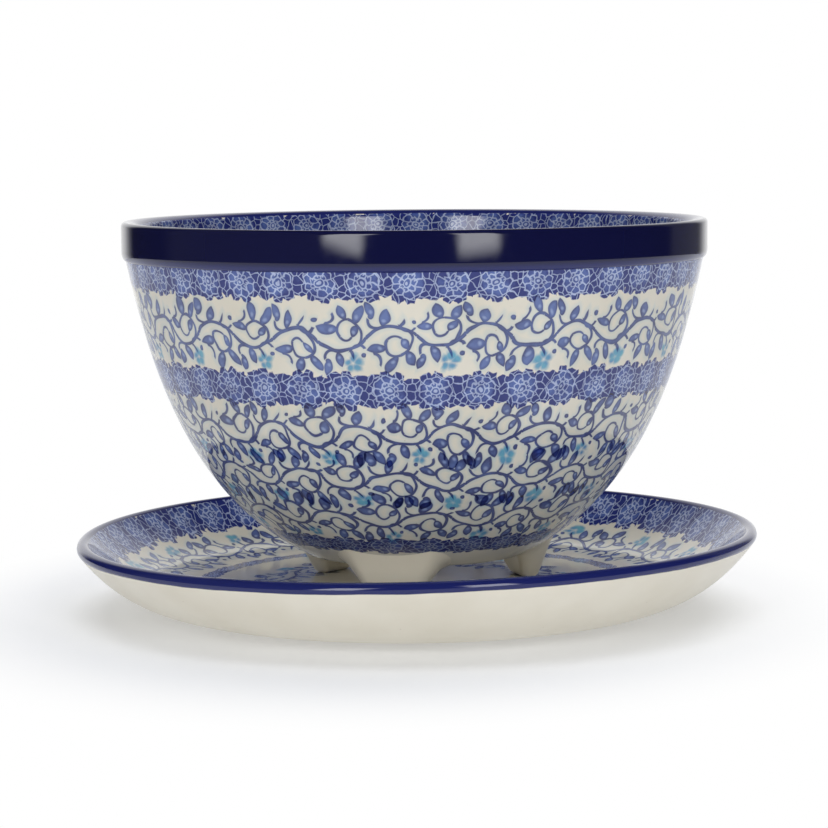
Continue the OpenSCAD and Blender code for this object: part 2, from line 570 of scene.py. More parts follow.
def newPrintGroup(name, vector, results):
    # nodes of one print: across and up are millimetres on the clay, and vector is one more input
    tree = bpy.data.node_groups.new(name, "ShaderNodeTree")
    for socket in ("across", "up"):
        tree.interface.new_socket(socket, in_out="INPUT", socket_type="NodeSocketFloat")
    tree.interface.new_socket(vector, in_out="INPUT", socket_type="NodeSocketVector")
    for socket in results:
        tree.interface.new_socket(socket, in_out="OUTPUT", socket_type="NodeSocketFloat")
    return tree, tree.nodes.new("NodeGroupInput").outputs


def closePrintGroup(tree, results):
    result = tree.nodes.new("NodeGroupOutput")
    for name, node in results.items():
        tree.links.new(node.outputs[0], result.inputs[name])
    return tree


def copyOfPrint(tree, across, pitch):
    # which copy of a print a point is in, and how far to the right of that copy's middle
    count = addNode(tree, "Math", {0: across, 1: pitch}, "DIVIDE")
    index = addNode(tree, "Math", {0: count}, "FLOOR")
    within = addNode(tree, "Math", {0: count, 1: index}, "SUBTRACT")
    centred = addNode(tree, "Math", {0: within, 1: 0.5}, "SUBTRACT")
    return index, addNode(tree, "Math", {0: centred, 1: pitch}, "MULTIPLY")


def nearestOf(tree, distances):
    # shapes of a print are distances, below zero inside; the nearest one joins them
    nearest = distances[0]
    for distance in distances[1:]:
        nearest = addNode(tree, "Math", {0: nearest, 1: distance}, "MINIMUM")
    return nearest


def roundSpots(tree, point, spots):
    # spots are (middle x and y, radius)
    distances = []
    for cx, cy, radius in spots:
        away = addNode(tree, "VectorMath", {0: point, 1: (cx, cy, 0)}, "DISTANCE")
        distances.append(addNode(tree, "Math", {0: away, 1: radius}, "SUBTRACT"))
    return nearestOf(tree, distances)


# The scroll print is a stamp of our own: an S-shaped stem that curls into every bend, with
# leaves, berries and a small five-petalled blossom. Lengths are millimetres on one half of the
# stamp, from its middle; the other half is the same one turned upside down, without the blossom.
scroll = {
    "half": 13.0,
    "stems": [  # middle x and y, radius, middle angle, half of the sweep, half of the width
        (0, 5.54, 8.54, -90, 53, 0.5),
        (1.2, 1.3, 4.1, -5, 86, 0.43),
        (1.38, 2.33, 3.05, 148, 69, 0.36),
        (0.52, 1.73, 2.0, 272.5, 58, 0.32),
        (0.4, -5.6, 2.6, 32, 32, 0.38),
        (-3.3, -4.9, 2.3, 128, 62, 0.38),
        (4.1, -3.9, 2.2, 100, 75, 0.38),
        (-4.6, 6.6, 2.2, -35, 60, 0.36),
    ],
    "leaves": [  # middle x and y, direction, length, width
        (3.3, 2.3, 58, 4.0, 2.2),
        (4.8, 6.6, 58, 5.4, 2.8),
        (0.1, 7.6, 112, 5.4, 2.8),
        (-3.9, 2.9, 168, 5.2, 2.7),
        (-1.1, -5.4, -72, 5.2, 2.7),
        (-5.1, -7.7, 248, 4.8, 2.6),
    ],
    "berries": [(-4.9, -5.9, 0.75), (5.9, -5.0, 0.7)],
    "blossom": (3.1, -7.2, 1.5, 1.15),  # middle x and y, distance of the petals, their radius
    "petals": 5,
    "glint": (0.7, 0.2, 0.75),  # a leaf's ink is thin within these radii of a spot, by this share
    "glintBack": 0.14,  # how far the spot lies back from the leaf's middle, as a share of its length
    "edge": 0.15,  # softness of the ink's edge
    "cover": 0.93,
    "pool": (-0.8, -0.1),  # the ink gets deeper from this far inside a leaf to this near its edge
    "poolDepth": (-0.15, 0.45),
    "dabDepth": 0.75,  # how much deeper it is where the sponge was full
    "halo": (1.6, 0.6),  # how far a thin blue bleeds out of the ink into the glaze, and how strong
    "petalEdge": (1.1, -0.3, 0.95),  # how far out and in its edge is soft, and how strong it is
    "petalThin": 0.9,  # how much smaller a petal is where the sponge was full
    "shake": 1.5,  # how far a hand-held stamp slips
    "stagger": 0.6,  # a row starts this much further round than the row under it, as a share of the step up
}


def makeScrollGroup():
    tree, given = newPrintGroup("scrollPrint", "slip", ("ink", "light", "blossom"))
    slip = addNode(tree, "SeparateXYZ", {0: given["slip"]})
    across = addNode(tree, "Math", {0: given["across"], 1: slip.outputs[0]}, "ADD")
    up = addNode(tree, "Math", {0: given["up"], 1: slip.outputs[1]}, "ADD")
    index, x = copyOfPrint(tree, across, scroll["half"])
    odd = addNode(tree, "Math", {0: index, 1: 2.0}, "FLOORED_MODULO")
    flip = addNode(tree, "Math", {0: odd, 1: -2.0, 2: 1.0}, "MULTIPLY_ADD")
    y = addNode(tree, "Math", {0: up, 1: flip}, "MULTIPLY")
    point = addNode(tree, "CombineXYZ", {0: x, 1: y})
    inked = [roundSpots(tree, point, scroll["berries"])]
    for cx, cy, radius, middle, sweep, width in scroll["stems"]:
        # a stem is an arc, cut off past its sweep
        away = (math.cos(math.radians(middle)), math.sin(math.radians(middle)), 0)
        limit = radius * math.cos(math.radians(sweep)) + cx * away[0] + cy * away[1] + width
        fromArc = roundSpots(tree, point, [(cx, cy, radius)])
        side = addNode(tree, "Math", {0: fromArc}, "ABSOLUTE")
        facing = addNode(tree, "VectorMath", {0: point, 1: away}, "DOT_PRODUCT")
        beyond = addNode(tree, "Math", {0: limit, 1: facing}, "SUBTRACT")
        cut = addNode(tree, "Math", {0: side, 1: beyond}, "MAXIMUM")
        inked.append(addNode(tree, "Math", {0: cut, 1: width}, "SUBTRACT"))
    glints = []
    for cx, cy, turned, length, width in scroll["leaves"]:
        # a leaf is what two large round spots share
        bulge = (length**2 + width**2) / (4 * width)
        along = Vector((math.cos(math.radians(turned)), math.sin(math.radians(turned))))
        beside = Vector((-along.y, along.x)) * (bulge - width / 2)
        middle = Vector((cx, cy))
        first = roundSpots(tree, point, [(*(middle + beside), bulge)])
        second = roundSpots(tree, point, [(*(middle - beside), bulge)])
        inked.append(addNode(tree, "Math", {0: first, 1: second}, "MAXIMUM"))
        glints.append((*(middle - along * length * scroll["glintBack"]), 0.0))
    cx, cy, reach, radius = scroll["blossom"]
    petals = []
    for i in range(scroll["petals"]):
        a = math.radians(90 + 360 / scroll["petals"] * i)
        petals.append((cx + reach * math.cos(a), cy + reach * math.sin(a), radius))
    bloom = {0: odd, 1: scroll["half"], 2: roundSpots(tree, point, petals)}
    everyOther = addNode(tree, "Math", bloom, "MULTIPLY_ADD")  # too far away to show on the odd halves
    light = roundSpots(tree, point, glints)
    return closePrintGroup(tree, {"ink": nearestOf(tree, inked), "light": light, "blossom": everyOther})


# The lace print: a row of rosettes drawn with pale lines on blue, with a crackle of the same
# lines on a deeper blue between them.
lace = {
    "pitch": 11.8,
    "half": 4.3,  # half of the band's height
    "eye": (0.3, 1.05),  # radius of the dot in the middle, and of the ring round it
    "rings": [(1.05, 2.3, 7), (2.3, 4.0, 9)],  # inner and outer radius of a ring, and its petals
    "crackle": 0.48,  # patches in a millimetre between the rosettes
    "thinner": 0.05,  # how much thinner the pale lines between those are
    "stretch": 0.9,  # height of a rosette as a share of its width
    "turn": 0.37,  # each rosette is turned by this much, in radians, from the one before it
    "line": 0.16,  # half of a pale line's width
    "lineEdge": (1.6, 0.5),  # it fades between these shares of that
    "bow": 0.5,  # how far the petals' tips bow outwards
    "wobble": 0.575,  # how far a line strays as the print is dabbed on
    "wobbles": 28,  # in a row of 100 mm
    "ragged": 1.5,  # how ragged the band's edges are
    "notch": (1.1, 0.9),  # depth and half width of the notches where the pale lines leave the band
    "lobe": (1.1, 1.0, 4.8),  # how far the band reaches out over a rosette's middle, and where that ends
    "edge": 0.15,  # softness of the band's edge
    "deeper": (1.0, 0.8),  # the blue gets deeper from this far inside a rosette to this far outside
    "depth": 0.85,
    "drowned": 0.55,  # what is left of the pale lines where the sponge was full
}


def makeLaceGroup():
    tree, given = newPrintGroup("lacePrint", "place", ("cover", "pale", "deep"))
    fine = lace["wobbles"] / patternRow
    noise = addNode(tree, "TexNoise", {"Vector": given["place"], "Scale": fine, "Detail": 2.5})
    stray = addNode(tree, "VectorMath", {0: noise.outputs["Color"], 1: noiseMiddle}, "SUBTRACT")
    shift = addNode(tree, "SeparateXYZ", {0: stray}).outputs
    wobble = lace["wobble"] / noiseReach
    across = addNode(tree, "Math", {0: shift[0], 1: wobble, 2: given["across"]}, "MULTIPLY_ADD")
    up = addNode(tree, "Math", {0: shift[1], 1: wobble, 2: given["up"]}, "MULTIPLY_ADD")
    index, x = copyOfPrint(tree, across, lace["pitch"])
    narrow = addNode(tree, "Math", {0: x, 1: lace["stretch"]}, "MULTIPLY")
    point = addNode(tree, "CombineXYZ", {0: narrow, 1: up})
    radius = addNode(tree, "VectorMath", {0: point}, "LENGTH")
    angle = addNode(tree, "Math", {0: up, 1: narrow}, "ARCTAN2")
    twist = addNode(tree, "Math", {0: index, 1: lace["turn"], 2: angle}, "MULTIPLY_ADD")
    dot, ring = lace["eye"]
    bow = lace["bow"]
    fromRing = addNode(tree, "Math", {0: radius, 1: ring}, "SUBTRACT")
    eyeRing = addNode(tree, "Math", {0: fromRing}, "ABSOLUTE")
    eyeDot = addNode(tree, "Math", {0: radius, 1: dot}, "SUBTRACT")
    lines = [eyeRing, eyeDot]
    for inner, outer, petals in lace["rings"]:
        # distance from the lines beside the petals, and from the bowed line over their tips
        turn = addNode(tree, "Math", {0: twist, 1: petals / (2 * math.pi), 2: inner}, "MULTIPLY_ADD")
        toSide = addNode(tree, "Math", {0: turn, 1: 0.5}, "PINGPONG")
        sideArc = addNode(tree, "Math", {0: toSide, 1: radius}, "MULTIPLY")
        sideMm = addNode(tree, "Math", {0: sideArc, 1: 2 * math.pi / petals}, "MULTIPLY")
        tip = addNode(tree, "Math", {0: toSide, 1: bow * 2, 2: outer - bow}, "MULTIPLY_ADD")
        overTip = addNode(tree, "Math", {0: radius, 1: tip}, "SUBTRACT")
        tipLine = addNode(tree, "Math", {0: overTip}, "ABSOLUTE")
        start = inner if inner == ring else inner - bow
        underRing = addNode(tree, "Math", {0: start, 1: radius}, "SUBTRACT")
        off = addNode(tree, "Math", {0: overTip, 1: underRing}, "MAXIMUM")
        sideHere = addNode(tree, "Math", {0: sideMm, 1: off}, "MAXIMUM")
        lines += [sideHere, tipLine]
    flat = addNode(tree, "CombineXYZ", {0: across, 1: up})
    kind = {"feature": "DISTANCE_TO_EDGE", "voronoi_dimensions": "2D"}
    patches = addNode(tree, "TexVoronoi", {"Vector": flat, "Scale": lace["crackle"]}, **kind)
    gap = {0: patches, 1: 1 / lace["crackle"], 2: lace["thinner"]}
    gapMm = addNode(tree, "Math", gap, "MULTIPLY_ADD")
    inRosette = addNode(tree, "Math", {0: overTip, 1: -1.0}, "MULTIPLY")
    lines.append(addNode(tree, "Math", {0: gapMm, 1: inRosette}, "MAXIMUM"))
    faint, full = (lace["line"] * share for share in lace["lineEdge"])
    pale = addNode(tree, "MapRange", {0: nearestOf(tree, lines), 1: faint, 2: full}, **smooth)
    edge = addNode(tree, "Math", {0: up}, "ABSOLUTE")
    ragged = addNode(tree, "Math", {0: shift[2], 1: lace["ragged"], 2: edge}, "MULTIPLY_ADD")
    depth, width = lace["notch"]
    notch = addNode(tree, "MapRange", {0: sideMm, 1: width, 2: 0.0, 4: depth})
    notched = addNode(tree, "Math", {0: ragged, 1: notch}, "ADD")
    out, middle, side = lace["lobe"]
    fromAxis = addNode(tree, "Math", {0: narrow}, "ABSOLUTE")
    lobe = addNode(tree, "MapRange", {0: fromAxis, 1: side, 2: middle, 4: out}, **smooth)
    lobed = addNode(tree, "Math", {0: notched, 1: lobe}, "SUBTRACT")
    half = lace["half"] + depth / 3 - out / 2  # notches and lobes leave the band as high as it was
    cover = addNode(tree, "MapRange", {0: lobed, 1: half + lace["edge"], 2: half - lace["edge"]}, **smooth)
    inside, outside = lace["deeper"]
    deep = addNode(tree, "MapRange", {0: radius, 1: outer - inside, 2: outer + outside})
    return closePrintGroup(tree, {"cover": cover, "pale": pale, "deep": deep})


scrollGroup = makeScrollGroup()
laceGroup = makeLaceGroup()


def chosen(tree, profile, zones):
    # numbers for each stretch of the profile: zones are (where it starts, its numbers), in rising order
    values = zones[0][1:]
    for start, *numbers in zones[1:]:
        past = addNode(tree, "Math", {0: profile, 1: start}, "GREATER_THAN")
        pairs = zip(values, numbers)
        values = [addNode(tree, "Mix", {0: past, 2: before, 3: number}) for before, number in pairs]
    return values


def between(tree, profile, start, end, soft):
    # 1 inside a stretch of the profile, with soft edges
    middle, half = (start + end) / 2, (end - start) / 2
    fromMiddle = addNode(tree, "Math", {0: profile, 1: middle}, "SUBTRACT")
    away = addNode(tree, "Math", {0: fromMiddle}, "ABSOLUTE")
    return addNode(tree, "MapRange", {0: away, 1: half + soft, 2: half - soft}, **smooth)


def newMaterial(name):
    material = bpy.data.materials.new(name)
    material.use_nodes = True
    material.node_tree.nodes.clear()
    return material, material.node_tree


def newPottery(name):
    # cream stoneware: warm, a little uneven, with a few iron specks
    material, tree = newMaterial(name)
    place = addNode(tree, "TexCoord").outputs["Object"]
    placeMm = addNode(tree, "VectorMath", {0: place, 3: metre}, "SCALE")
    count, least, most = glaze["tones"]
    tone = addNode(tree, "TexNoise", {"Vector": placeMm, "Scale": count / patternRow, "Detail": 3.0})
    share = addNode(tree, "MapRange", {0: tone, 1: least, 2: most})
    color = addNode(tree, "Mix", {0: share, 6: hue("cream"), 7: hue("creamDark")}, **paint)
    count, outer, inner, share = glaze["specks"]
    specks = addNode(tree, "TexVoronoi", {"Vector": placeMm, "Scale": count / patternRow})
    speck = addNode(tree, "MapRange", {0: specks, 1: outer, 2: inner, 4: share})
    color = addNode(tree, "Mix", {0: speck, 6: color, 7: hue("speck")}, **paint)
    return material, tree, placeMm, color


def glossOver(tree, color, bare, placeMm, gloss, soft=0.0):
    # the fired gloss: smooth, with slow waves where the glaze ran, and dull where the clay is bare
    count, least, most = glaze["glossPatches"]
    patches = addNode(tree, "TexNoise", {"Vector": placeMm, "Scale": count / patternRow, "Detail": 2.0})
    fired = addNode(tree, "MapRange", {0: patches, 1: least, 2: most, 3: gloss[0], 4: gloss[1]})
    fired = addNode(tree, "Mix", {0: soft, 2: fired, 3: glaze["softGloss"]})
    rough = addNode(tree, "Mix", {0: bare, 2: fired, 3: glaze["bareGloss"]})
    waves = addNode(tree, "TexNoise", {"Vector": placeMm, "Scale": 1 / glaze["wave"], "Detail": 1.5})
    grains = {"Vector": placeMm, "Scale": glaze["sandGrains"] / patternRow, "Detail": 2.0}
    sand = addNode(tree, "TexNoise", grains)
    height = addNode(tree, "Mix", {0: bare, 2: waves, 3: sand})
    relief = {"Strength": 1.0, "Distance": glaze["waveHeight"] / metre, "Height": height}
    bump = addNode(tree, "Bump", relief)
    surface = {"Base Color": color, "Roughness": rough, "IOR": glaze["ior"], "Normal": bump}
    addNode(tree, "OutputMaterial", {"Surface": addNode(tree, "BsdfPrincipled", surface)})


def addScroll(tree, color, strength, slip, turn, profile, rows):
    # rows are (where the row starts on the profile, its middle, stamps round it, how dark it is
    # printed); a thin blue halo bleeds out of the ink into the glaze
    stamp = 2 * scroll["half"]
    zones = [(start, at, stamps * stamp, dark) for start, at, stamps, dark in rows]
    middle, around, dark = chosen(tree, profile, zones)
    shift = addNode(tree, "Math", {0: middle, 1: scroll["stagger"]}, "MULTIPLY")
    across = addNode(tree, "Math", {0: turn, 1: around, 2: shift}, "MULTIPLY_ADD")
    up = addNode(tree, "Math", {0: profile, 1: middle}, "SUBTRACT")
    row = addNode(tree, "Group", {"across": across, "up": up, "slip": slip}, node_tree=scrollGroup)
    ink, light, blossom = (row.outputs[name] for name in ("ink", "light", "blossom"))
    edge = scroll["edge"]
    cover = addNode(tree, "MapRange", {0: ink, 1: edge, 2: -edge, 4: scroll["cover"]}, **smooth)
    (inner, outer), (least, most) = scroll["pool"], scroll["poolDepth"]
    rim = addNode(tree, "MapRange", {0: ink, 1: inner, 2: outer, 3: least, 4: most})
    depth = addNode(tree, "Math", {0: strength, 1: scroll["dabDepth"], 2: rim}, "MULTIPLY_ADD")
    depth = addNode(tree, "Math", {0: depth, 1: dark}, "ADD")
    layer = addNode(tree, "Mix", {0: depth, 6: filtered("ink"), 7: filtered("inkDeep")}, **paint)
    wide, small, share = scroll["glint"]
    glint = addNode(tree, "MapRange", {0: light, 1: wide, 2: small, 3: 0.0, 4: share})
    layer = addNode(tree, "Mix", {0: glint, 6: layer, 7: filtered("inkThin")}, **paint)
    reach, share = scroll["halo"]
    halo = addNode(tree, "MapRange", {0: ink, 1: reach, 2: 0.0, 4: share}, **smooth)
    color = addNode(tree, "Mix", {0: halo, 6: color, 7: filtered("inkHalo")}, **stain)
    color = addNode(tree, "Mix", {0: cover, 6: color, 7: layer}, **stain)
    bled = addNode(tree, "Math", {0: strength, 1: scroll["petalThin"], 2: blossom}, "MULTIPLY_ADD")
    outer, inner, share = scroll["petalEdge"]
    petals = addNode(tree, "MapRange", {0: bled, 1: outer, 2: inner, 4: share}, **smooth)
    tints = {0: strength, 6: filtered("turquoise"), 7: filtered("turquoiseDeep")}
    tint = addNode(tree, "Mix", tints, **paint)
    return addNode(tree, "Mix", {0: petals, 6: color, 7: tint}, **stain)


def addLace(tree, color, strength, turn, profile, placeMm, bands):
    # bands are (where it starts on the profile, its middle, its half height, rosettes round it,
    # how dark it is printed)
    pitch, full = lace["pitch"], lace["half"]
    zones = [(start, at, full / half, count * pitch, dark) for start, at, half, count, dark in bands]
    middle, scale, around, dark = chosen(tree, profile, zones)
    across = addNode(tree, "Math", {0: turn, 1: around, 2: middle}, "MULTIPLY_ADD")
    off = addNode(tree, "Math", {0: profile, 1: middle}, "SUBTRACT")
    up = addNode(tree, "Math", {0: off, 1: scale}, "MULTIPLY")
    row = addNode(tree, "Group", {"across": across, "up": up, "place": placeMm}, node_tree=laceGroup)
    cover, pale, deep = (row.outputs[name] for name in ("cover", "pale", "deep"))
    depth = addNode(tree, "Math", {0: deep, 1: lace["depth"], 2: strength}, "MULTIPLY_ADD")
    layer = addNode(tree, "Mix", {0: depth, 6: hue("lace"), 7: hue("laceDeep")}, **paint)
    left = addNode(tree, "MapRange", {0: strength, 1: 0.0, 2: 1.0, 3: 1.0, 4: lace["drowned"]})
    lines = addNode(tree, "Math", {0: pale, 1: left}, "MULTIPLY")
    layer = addNode(tree, "Mix", {0: lines, 6: layer, 7: hue("lacePale")}, **paint)
    # a band printed dark takes the deepest blue; on the bowl's lowest band that darkness is partly painted
    # shade
    layer = addNode(tree, "Mix", {0: dark, 6: layer, 7: hue("laceDark")}, **paint)
    return addNode(tree, "Mix", {0: cover, 6: color, 7: layer}, **paint)


def printedGlaze(name, laceBands, scrollRows, cobalt, bareStretch, softStretch):
    # stoneware with underglaze sponge prints: soft-edged ink of uneven strength under one even wet
    # gloss; cobalt is (start and end of the painted band on the profile, its colour's name, how thin
    # it gets at its ends), and the last two are the stretches of bare clay and of a softer gloss
    material, tree, placeMm, color = newPottery(name)
    profile = addNode(tree, "Attribute", attribute_name="profileMm").outputs["Fac"]
    parts = addNode(tree, "SeparateXYZ", {0: placeMm})
    front = addNode(tree, "Math", {0: parts.outputs[1], 1: -1.0}, "MULTIPLY")
    angle = addNode(tree, "Math", {0: parts.outputs[0], 1: front}, "ARCTAN2")
    turn = addNode(tree, "Math", {0: angle, 1: 1 / (2 * math.pi)}, "MULTIPLY")

    # strength of the ink, from one dab of the sponge to the next
    count, least, most = glaze["dabs"]
    sponge = {"Vector": placeMm, "Scale": count / patternRow, "Detail": 4.0, "Roughness": 0.6}
    dabs = addNode(tree, "TexNoise", sponge)
    strength = addNode(tree, "MapRange", {0: dabs, 1: least, 2: most})
    slip = addNode(tree, "TexNoise", {"Vector": placeMm, "Scale": glaze["slips"] / patternRow, "Detail": 2.0})
    stray = addNode(tree, "VectorMath", {0: slip.outputs["Color"], 1: noiseMiddle}, "SUBTRACT")
    slipMm = addNode(tree, "VectorMath", {0: stray, 3: scroll["shake"] / noiseReach}, "SCALE")
    color = addLace(tree, color, strength, turn, profile, placeMm, laceBands)
    for rows in scrollRows:
        color = addScroll(tree, color, strength, slipMm, turn, profile, rows)

    start, end, cobaltName, thinShare = cobalt
    waver = glaze["bandWaver"]
    bandLine = addNode(tree, "Math", {0: slip, 1: waver, 2: profile}, "MULTIPLY_ADD")
    cover = between(tree, bandLine, start + waver / 2, end + waver / 2, glaze["bandEdge"])
    full, least = glaze["bandThinLow"]
    low = addNode(tree, "MapRange", {0: profile, 1: start + full, 2: start + least, 4: thinShare})
    full, least = glaze["bandThinHigh"]
    high = addNode(tree, "MapRange", {0: profile, 1: end - full, 2: end - least, 4: thinShare})
    thin = addNode(tree, "Math", {0: low, 1: high}, "MAXIMUM")
    band = addNode(tree, "Mix", {0: thin, 6: hue(cobaltName), 7: hue("cobaltEdge")}, **paint)
    color = addNode(tree, "Mix", {0: cover, 6: color, 7: band}, **paint)
    bare = between(tree, profile, *bareStretch, glaze["wipedEdge"])
    color = addNode(tree, "Mix", {0: bare, 6: color, 7: hue("bareClay")}, **paint)
    soft = between(tree, profile, *softStretch, glaze["glossEdge"])
    glossOver(tree, color, bare, placeMm, glaze["gloss"], soft)
    return material


def creamGlaze(name, soleZ):
    # the feet are dipped in the cream glaze alone, which is thin and softer in its gloss there,
    # and their soles are wiped bare
    material, tree, placeMm, cream = newPottery(name)
    # painted light: the feet's cream is mixed lighter and warmer than the bowl's, to offset the shade under
    # the bowl
    color = addNode(tree, "Mix", {0: glaze["feetLitShare"], 6: cream, 7: hue("feetLitCream")}, **paint)
    height = addNode(tree, "SeparateXYZ", {0: placeMm}).outputs[2]
    glazed, wiped = foot["wiped"]
    bare = addNode(tree, "MapRange", {0: height, 1: soleZ + glazed, 2: soleZ + wiped})
    color = addNode(tree, "Mix", {0: bare, 6: color, 7: hue("bareClay")}, **paint)
    glossOver(tree, color, bare, placeMm, glaze["footGloss"])
    return material


pastEnd = 9999.0  # further along than any profile goes: a print put there doesn't show
nowhere = (-20, -10)  # a stretch before the start of every profile
bowlPrint = {
    # lace bands: heights of their edges over the table, rosettes round the bowl, how dark they are
    # the lowest band is printed much darker: partly its denser print, partly painted shade where the saucer
    # and feet shade the bowl's underside
    "lowerLace": (22.2, 26.8, 24, 0.42),
    "middleLace": (66.8, 75.8, 39, 0.05),
    "upperLace": (96.3, 104.9, 44, 0.05),
    "fieldRows": [(1.5, 13), (0.0, 15), (-1.0, 17)],  # shift up and stamps of each row, from the lowest on
    "fieldDark": 0.3,
    "upperStamps": 19,
    "insideCobalt": 113.6,  # height where the collar's cobalt ends inside
    "insideLace": (8.6, 42, 0.25),  # width, rosettes round the bowl, how dark it is
    "insideTuck": 1.6,  # how far that band goes under the cobalt
    "insideScroll": (21, 18),  # width, stamps
    "laceReach": 10,  # past this distance over a lace band, the next one begins
    "scrollReach": 2,  # how far leaves may reach out of a band of scrolls
}


def onWall(height):
    return crossing(bowlLine, bowlRun, height, True)


def middleAndHalf(start, end):
    return (start + end) / 2, (end - start) / 2


def bowlMaterial():
    inside = crossing(bowlLine, bowlRun, bowlPrint["insideCobalt"], False)
    crest = crossing(bowlLine, bowlRun, bowl["crestZ"] - 10 * hair, False)
    edges, looks = [], []
    for name in ("lowerLace", "middleLace", "upperLace"):
        low, high, rosettes, dark = bowlPrint[name]
        edges.append((onWall(low), onWall(high)))
        looks.append((*middleAndHalf(*edges[-1]), rosettes, dark))
    (_, fieldStart), (fieldEnd, upperStart), (upperEnd, _) = edges
    width, rosettes, dark = bowlPrint["insideLace"]
    laceEnd = inside + width
    bands = [
        (0, *looks[0]),
        (fieldStart + bowlPrint["laceReach"], *looks[1]),
        (upperStart + bowlPrint["laceReach"], *looks[2]),
        (crest, (inside - bowlPrint["insideTuck"] + laceEnd) / 2, width / 2, rosettes, dark),
    ]
    step = (fieldEnd - fieldStart) / len(bowlPrint["fieldRows"])
    field = []
    for i, (shift, stamps) in enumerate(bowlPrint["fieldRows"]):
        field.append((fieldStart + step * (i + 0.5) + shift, stamps, bowlPrint["fieldDark"]))
    scrollWidth, stamps = bowlPrint["insideScroll"]
    reach = bowlPrint["scrollReach"]
    first = [
        (0, *field[0]),
        (field[1][0], *field[2]),
        (upperStart - reach, (upperStart + upperEnd) / 2, bowlPrint["upperStamps"], 0.0),
        (crest, laceEnd + scrollWidth / 2, stamps, 0.0),
        (laceEnd + scrollWidth + reach, pastEnd, stamps, 0.0),
    ]
    second = [(0, *field[1]), (upperStart, pastEnd, *field[1][1:])]  # its leaves overlap the rows beside it
    collarStart = onWall(bowl["crestZ"] - bowl["collar"] - hair)
    cobalt = (collarStart, inside, "cobalt", 1.0)
    return printedGlaze("printedStonewareGlaze", bands, (first, second), cobalt, nowhere, nowhere)


saucerPrint = {
    "cobaltUnder": 20.3,  # height of the cobalt's edge on the underside
    "cobaltTop": 96.6,  # radii on the dish from here on
    "outerLace": (88.2, 97.6, 47, 0.05),  # inner and outer edge, rosettes round the dish, how dark it is
    "innerLace": (60.5, 65.5, 33, 0.05),
    "scroll": (65.5, 88.2, 18, 0.1),  # inner and outer edge, stamps, how dark it is
    "well": (40, 8, 0.0),  # middle of the row, stamps, how dark it is
    "laceReach": 6,
}


def onDish(radius):
    # how far along the saucer's profile the dish has this radius
    for i in range(len(saucerLine) - 1, 0, -1):
        inner, outer = saucerLine[i].x, saucerLine[i - 1].x
        if inner <= radius <= outer:
            return saucerRun[i] - (saucerRun[i] - saucerRun[i - 1]) * (radius - inner) / (outer - inner)
    raise ValueError("the dish has no such radius")


def saucerMaterial():
    under = crossing(saucerLine, saucerRun, saucerPrint["cobaltUnder"], True)
    stretches, looks = {}, {}
    for name in ("outerLace", "innerLace", "scroll"):
        inner, outer, *looks[name] = saucerPrint[name]
        stretches[name] = middleAndHalf(onDish(outer), onDish(inner))
    rowMiddle, (laceMiddle, laceHalf) = stretches["scroll"][0], stretches["innerLace"]
    laceEnd = laceMiddle + laceHalf
    bands = [
        (under, *stretches["outerLace"], *looks["outerLace"]),
        (rowMiddle, *stretches["innerLace"], *looks["innerLace"]),
        (laceEnd + saucerPrint["laceReach"], pastEnd, laceHalf, *looks["innerLace"]),
    ]
    wellRadius, *wellLook = saucerPrint["well"]
    rows = [
        (under, rowMiddle, *looks["scroll"]),
        (laceMiddle, onDish(wellRadius), *wellLook),
    ]
    onTable = [run for point, run in zip(saucerLine, saucerRun) if point.y < hair]
    cobalt = (under, onDish(saucerPrint["cobaltTop"]), "cobaltThin", 0.0)
    return printedGlaze("printedSaucerGlaze", bands, (rows,), cobalt, (onTable[0], onTable[-1]), (0, under))


bowlPiece = makeBowl()
bowlPiece.data.materials.append(bowlMaterial())
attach(bowlPiece, "bowl")
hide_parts("bowl")
print("bowl made and glazed")

feetGlaze = creamGlaze("creamStonewareGlaze", foot["soleZ"])
for name, node, turn in (
    ("footFront", "foot_front", -foot["turn"]),
    ("footRight", "foot_right", 120 - foot["turn"]),
    ("footLeft", "foot_left", -120 - foot["turn"]),
):
    piece = makeFoot(name, turn)
    piece.data.materials.append(feetGlaze)
    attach(piece, "bowl")
    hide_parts(node)
print("feet made and glazed")

saucerPiece = makeSaucer()
saucerPiece.data.materials.append(saucerMaterial())
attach(saucerPiece, "saucer")
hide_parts("saucer")
print("saucer made and glazed")

# Studio: a pale sweep under and behind the bowl, two tall softboxes in front and one above
studio = {
    "floorRadius": 0.78,  # it ends before the rim collar could mirror it
    "floorSides": 96,
    "floorDrop": 0.0001,  # under the foot ring, so that the two don't share a face
    "floorFade": (0.095, 0.165),  # distance from the middle at which the paper's shadow ends in white
    "fadeSpread": (1.1, 0.92, 1.0),  # the shadow ends sooner at the sides than in front
    "fadeMiddle": (-0.012, 0.0, 0.0),
    # softboxes: name, degrees from the front towards the right, distance, height, width, tall,
    # brightness, degrees by which it leans
    "boxes": [
        ("leftSoftbox", -24.2, 1.7, 0.58, 0.56, 1.15, 5.9, 9),
        ("rightSoftbox", 22.8, 1.7, 0.56, 0.58, 1.15, 5.9, -4),
    ],
    "softEdge": 0.12,
    "topPlace": (0.2, 0.4, 1.8),
    "topSize": 2.2,
    "topBrightness": 1.9,
    "paper": "E2E4E8",
    "paperLight": "E4E6EA",
    "paperGrain": 900.0,  # in a metre
    "paperLift": 0.26,
    # the sweep behind: axis of the direction, where it is dark along that axis, and where it is white
    "sweep": [(1, 0.0, 0.3), (2, 0.8, 0.5), (0, -0.64, -0.38), (0, 0.6, 0.32)],
    "sweepWhite": 1.06,
    "roomDark": 0.02,
    # lighter parts of the room, at the left and behind at the right, as the collar mirrors them:
    # brightness, and where they start and are full, sideways and to the back
    "roomLight": [(0.07, -0.45, -0.65, 0.4, 0.25), (0.13, 0.36, 0.44, 0.42, 0.5)],
}
white = (1, 1, 1, 1)


